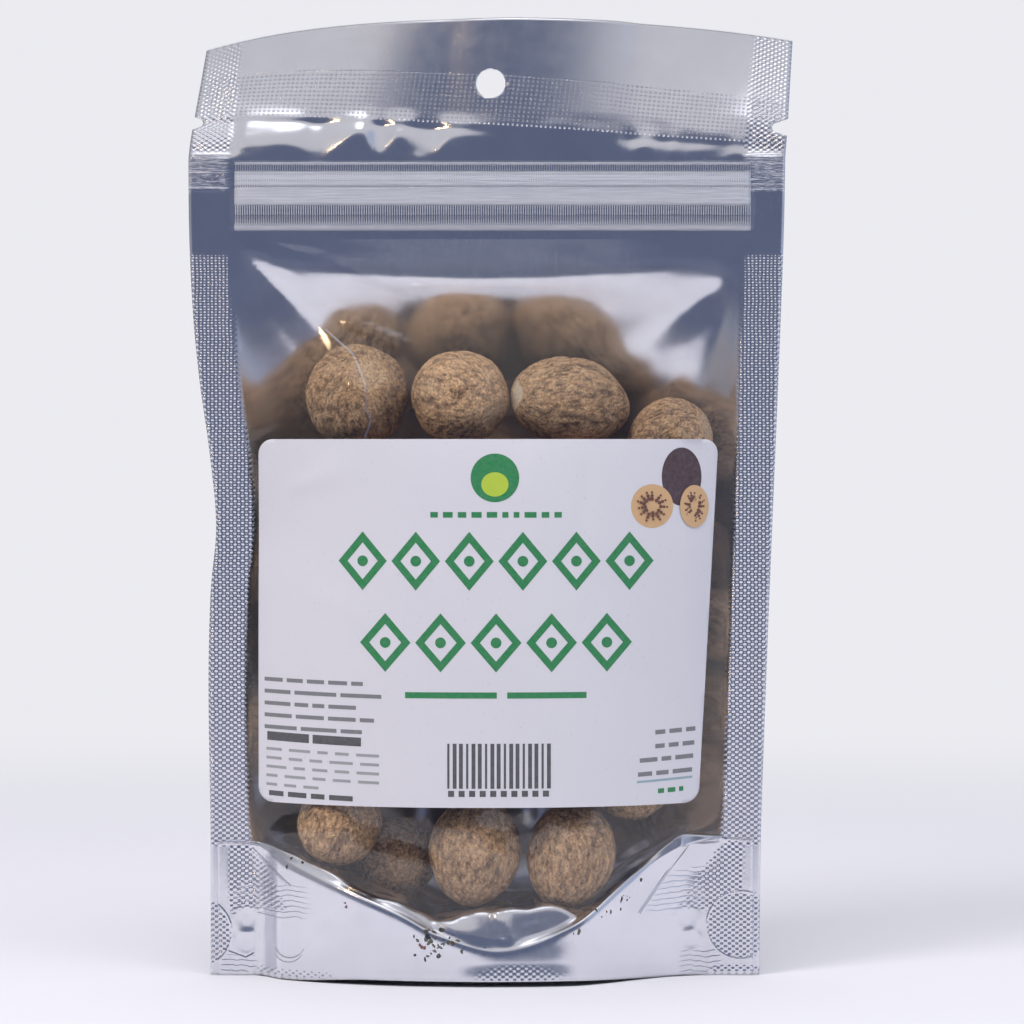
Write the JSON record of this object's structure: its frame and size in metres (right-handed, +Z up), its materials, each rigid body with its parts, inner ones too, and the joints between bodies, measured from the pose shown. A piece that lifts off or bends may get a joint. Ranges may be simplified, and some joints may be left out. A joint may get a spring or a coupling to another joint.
{
  "type": "stand-up pouch of whole nutmegs",
  "caption": "Sealed stand-up pouch of whole nutmegs with a clear front, metallic back, hang hole, tear notches, press-to-close strip, side seals, base gusset and a front label.",
  "frame": {"origin": "on the surface that the pouch stands on, under the middle of its bounding box", "axes": "+Z up the pouch to its header, -Y out of the clear front with the label, +X to the right as seen from the front"},
  "size_m": [0.1328, 0.0419, 0.2097],
  "materials": {
    "metallic_film": "metallised film, silver, embossed along its seals",
    "clear_film": "clear glossy film",
    "label_paper": "satin white label",
    "label_print": "flat print",
    "nutmeg": "dry brown seed, furrowed",
    "herb_flakes": "dry dark flakes"
  },
  "bodies": {
    "root": {"pouch": "metallic_film", "label": "label_paper"}
  },
  "joints": []
}
